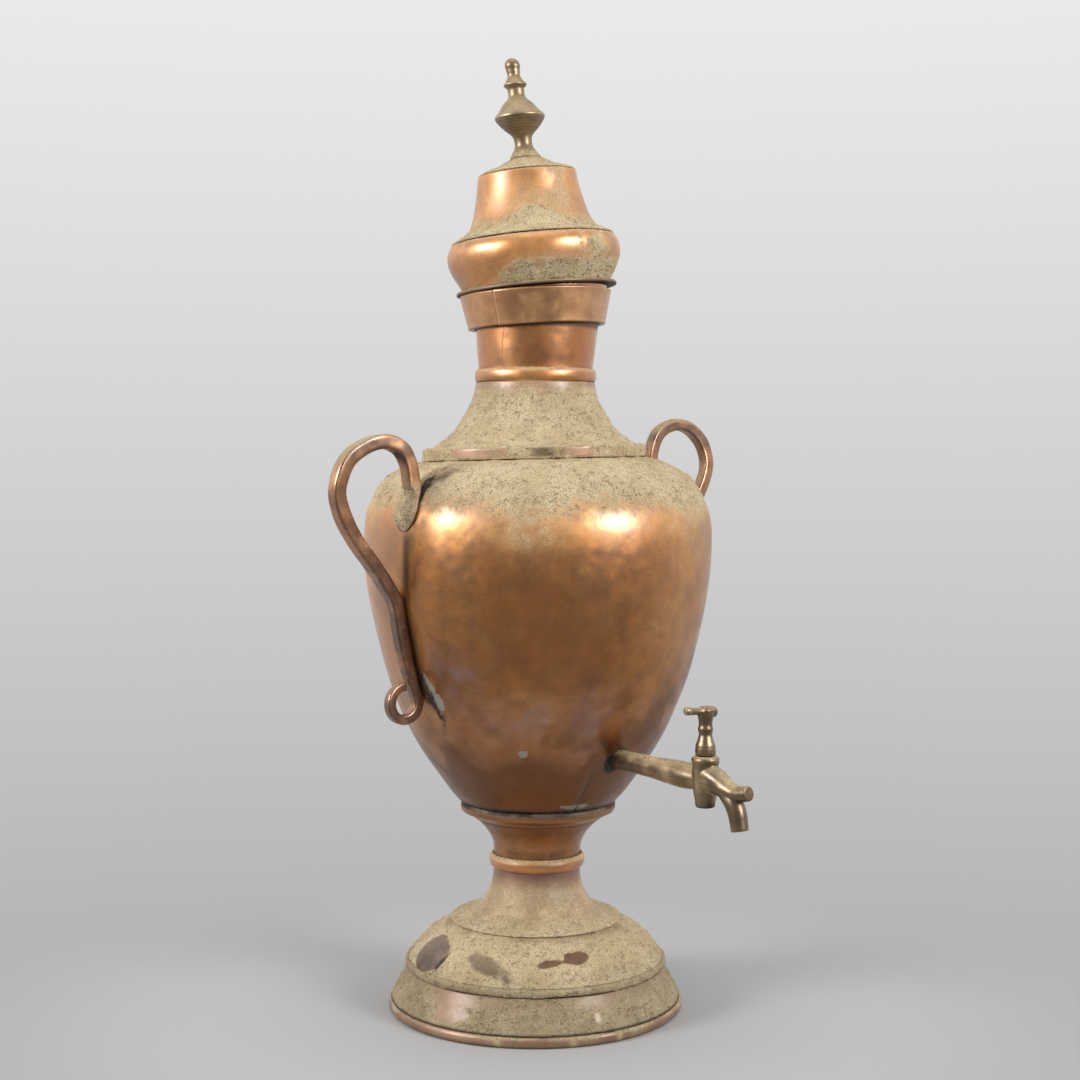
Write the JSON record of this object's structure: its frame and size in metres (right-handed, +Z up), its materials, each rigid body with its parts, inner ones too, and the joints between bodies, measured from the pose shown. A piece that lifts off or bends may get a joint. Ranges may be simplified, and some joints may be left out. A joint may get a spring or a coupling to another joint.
{
  "type": "alembic still",
  "caption": "Hammered copper still pot on a domed foot, with scrolled side handles, a brass draw-off tap and a lift-off head with a finial.",
  "frame": {"origin": "on the ground plane under the middle of the still's box", "axes": "+Z up, -Y towards the tap's spout, +X and -X towards the two handles"},
  "size_m": [0.4264, 0.3948, 0.8045],
  "materials": {
    "foot_rim_dusty_copper": "old copper under a coat of pale brown dust",
    "foot_skirt_dusty_copper": "old copper under a coat of pale brown dust",
    "foot_step_dusty_copper": "old copper under a coat of pale brown dust",
    "foot_dome_dusty_copper": "old copper under a coat of pale brown dust",
    "stem_cone_dusty_copper": "old copper under a coat of pale brown dust",
    "stem_bead_dusty_copper": "old copper under a coat of pale brown dust",
    "stem_cup_copper": "hammered copper, aged brown with worn bright spots",
    "seat_ring_tin": "copper edge tinned with grey solder",
    "body_vessel_copper": "hammered copper, aged brown with worn bright spots",
    "body_floor_tin": "copper edge tinned with grey solder",
    "shoulder_ring_dusty_copper": "old copper under a coat of pale brown dust",
    "neck_cone_dusty_copper": "old copper under a coat of pale brown dust",
    "neck_tube_copper": "hammered copper, aged brown with worn bright spots",
    "neck_bead_copper": "hammered copper, aged brown with worn bright spots",
    "collar_copper": "hammered copper, aged brown with worn bright spots",
    "collar_ledge_tin": "copper edge tinned with grey solder",
    "head_skirt_copper": "hammered copper, aged brown with worn bright spots",
    "head_brim_dusty_copper": "old copper under a coat of pale brown dust",
    "head_bulge_copper": "hammered copper, aged brown with worn bright spots",
    "head_cap_dusty_copper": "old copper under a coat of pale brown dust",
    "head_plate_dusty_copper": "old copper under a coat of pale brown dust",
    "finial_brass": "cast brass, dulled to olive brown",
    "finial_nut_brass": "cast brass, dulled to olive brown",
    "handle_left_copper": "hammered copper, aged brown with worn bright spots",
    "handle_right_copper": "hammered copper, aged brown with worn bright spots",
    "tap_body_brass": "cast brass, dulled to olive brown",
    "tap_back_nut_brass": "cast brass, dulled to olive brown",
    "tap_key_brass": "cast brass, dulled to olive brown",
    "tap_key_washer_brass": "cast brass, dulled to olive brown",
    "tap_key_nut_brass": "cast brass, dulled to olive brown"
  },
  "bodies": {
    "pot": {"foot_rim": "foot_rim_dusty_copper", "foot_skirt": "foot_skirt_dusty_copper", "foot_step": "foot_step_dusty_copper", "foot_dome": "foot_dome_dusty_copper", "stem_cone": "stem_cone_dusty_copper", "stem_bead": "stem_bead_dusty_copper", "stem_cup": "stem_cup_copper", "seat_ring": "seat_ring_tin", "body_vessel": "body_vessel_copper", "body_floor": "body_floor_tin", "shoulder_ring": "shoulder_ring_dusty_copper", "neck_cone": "neck_cone_dusty_copper", "neck_tube": "neck_tube_copper", "neck_bead": "neck_bead_copper", "collar": "collar_copper", "collar_ledge": "collar_ledge_tin", "handle_left": "handle_left_copper", "handle_right": "handle_right_copper", "tap_body": "tap_body_brass", "tap_back_nut": "tap_back_nut_brass"},
    "head": {"head_skirt": "head_skirt_copper", "head_brim": "head_brim_dusty_copper", "head_bulge": "head_bulge_copper", "head_cap": "head_cap_dusty_copper", "head_plate": "head_plate_dusty_copper", "finial": "finial_brass", "finial_nut": "finial_nut_brass"},
    "tap_key": {"tap_key": "tap_key_brass", "tap_key_washer": "tap_key_washer_brass", "tap_key_nut": "tap_key_nut_brass"}
  },
  "joints": [
    {"name": "head_lift", "type": "slide", "parent": "pot", "child": "head", "axis": [0, 0, 1], "range_m": [0, 0.12]},
    {"name": "tap_turn", "type": "hinge", "parent": "pot", "child": "tap_key", "pos_m": [0, -0.1511, 0.2204], "axis": [0, 0, 1], "range_deg": [0, 90]}
  ]
}
